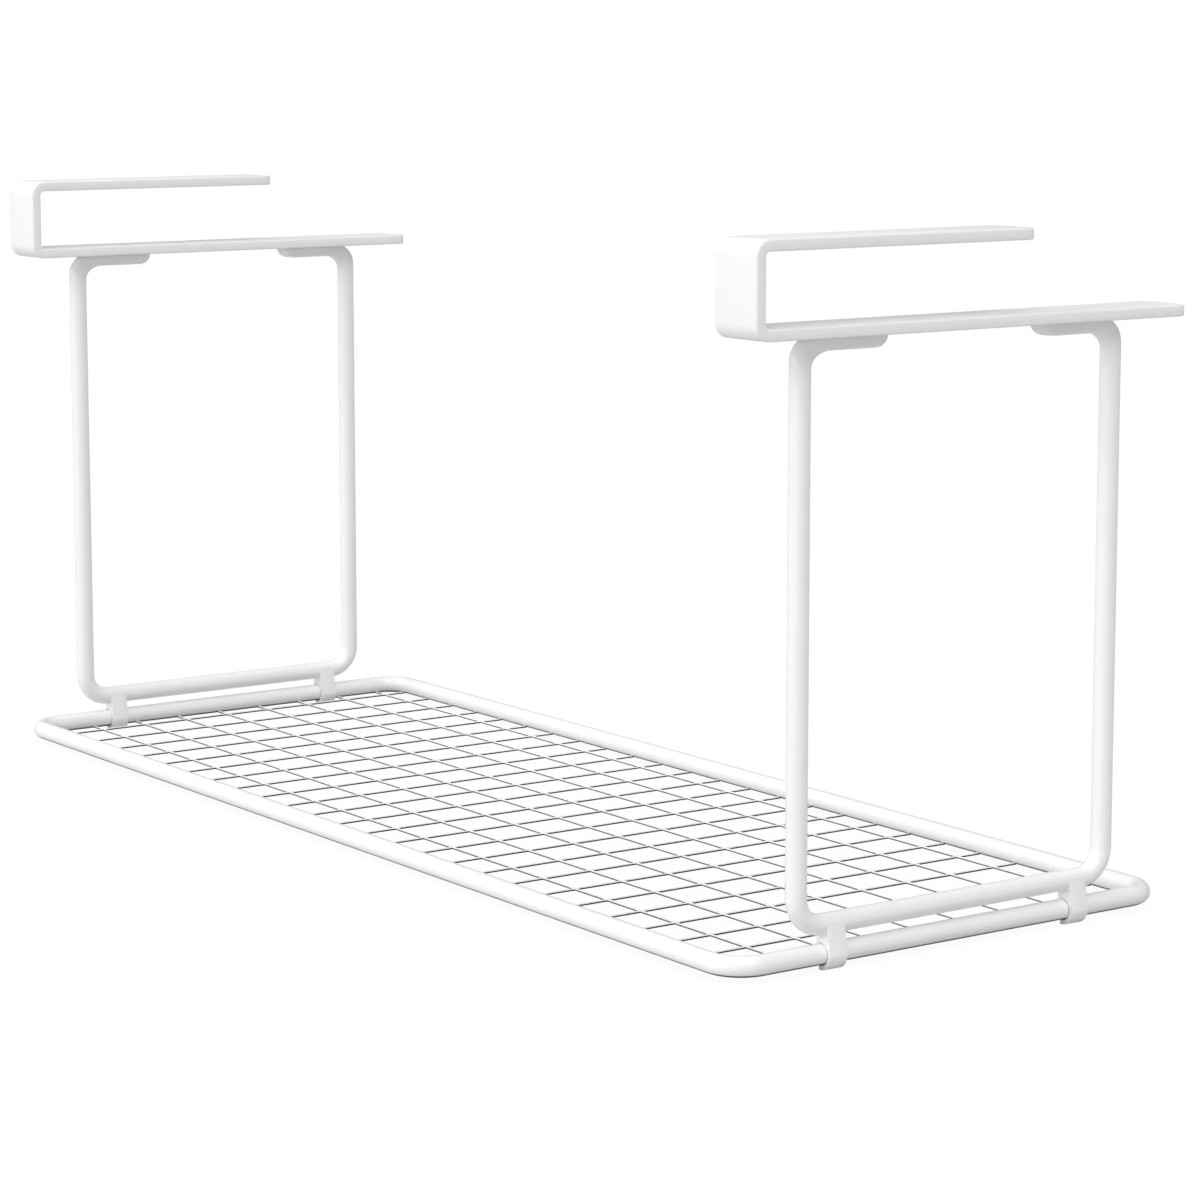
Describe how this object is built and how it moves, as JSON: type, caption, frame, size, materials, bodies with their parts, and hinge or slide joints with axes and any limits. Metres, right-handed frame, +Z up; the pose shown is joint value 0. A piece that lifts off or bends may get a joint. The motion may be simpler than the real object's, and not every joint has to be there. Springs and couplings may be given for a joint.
{
  "type": "under-shelf basket",
  "caption": "Open wire-mesh tray with a round rod rim, hung under a shelf board by hinged rod frames with flat C-shaped hooks.",
  "frame": {"origin": "on the floor under the middle of the tray, as the basket stands on the undersides of its clips", "axes": "+X along the tray to the bracket nearest the picture's camera, +Y from the closed front of the hooks to their open end, +Z up"},
  "size_m": [0.5814, 0.214, 0.2678],
  "materials": {
    "hook_strip": "white powder coat, satin",
    "u_frame": "white powder coat, satin",
    "clip": "white powder coat, satin",
    "tray_rim": "white powder coat, satin",
    "mesh_wire": "white powder coat, satin"
  },
  "bodies": {
    "tray": {"tray_rim": "tray_rim", "cross_wire_01": "mesh_wire", "cross_wire_02": "mesh_wire", "cross_wire_03": "mesh_wire", "cross_wire_04": "mesh_wire", "cross_wire_05": "mesh_wire", "cross_wire_06": "mesh_wire", "cross_wire_07": "mesh_wire", "cross_wire_08": "mesh_wire", "cross_wire_09": "mesh_wire", "cross_wire_10": "mesh_wire", "cross_wire_11": "mesh_wire", "cross_wire_12": "mesh_wire", "cross_wire_13": "mesh_wire", "cross_wire_14": "mesh_wire", "cross_wire_15": "mesh_wire", "cross_wire_16": "mesh_wire", "cross_wire_17": "mesh_wire", "cross_wire_18": "mesh_wire", "cross_wire_19": "mesh_wire", "cross_wire_20": "mesh_wire", "cross_wire_21": "mesh_wire", "cross_wire_22": "mesh_wire", "cross_wire_23": "mesh_wire", "cross_wire_24": "mesh_wire", "cross_wire_25": "mesh_wire", "long_wire_01": "mesh_wire", "long_wire_02": "mesh_wire", "long_wire_03": "mesh_wire", "long_wire_04": "mesh_wire", "long_wire_05": "mesh_wire", "long_wire_06": "mesh_wire", "long_wire_07": "mesh_wire", "long_wire_08": "mesh_wire", "long_wire_09": "mesh_wire"},
    "near_bracket": {"near_hook_strip": "hook_strip", "near_u_frame": "u_frame", "near_left_clip": "clip", "near_right_clip": "clip"},
    "far_bracket": {"far_hook_strip": "hook_strip", "far_u_frame": "u_frame", "far_left_clip": "clip", "far_right_clip": "clip"}
  },
  "joints": [
    {"name": "near_bracket_hinge", "type": "hinge", "parent": "tray", "child": "near_bracket", "pos_m": [0.2785, 0, 0.006], "axis": [0, 1, 0], "range_deg": [-70, 90]},
    {"name": "far_bracket_hinge", "type": "hinge", "parent": "tray", "child": "far_bracket", "pos_m": [-0.2785, 0, 0.006], "axis": [0, 1, 0], "range_deg": [-90, 70]}
  ]
}
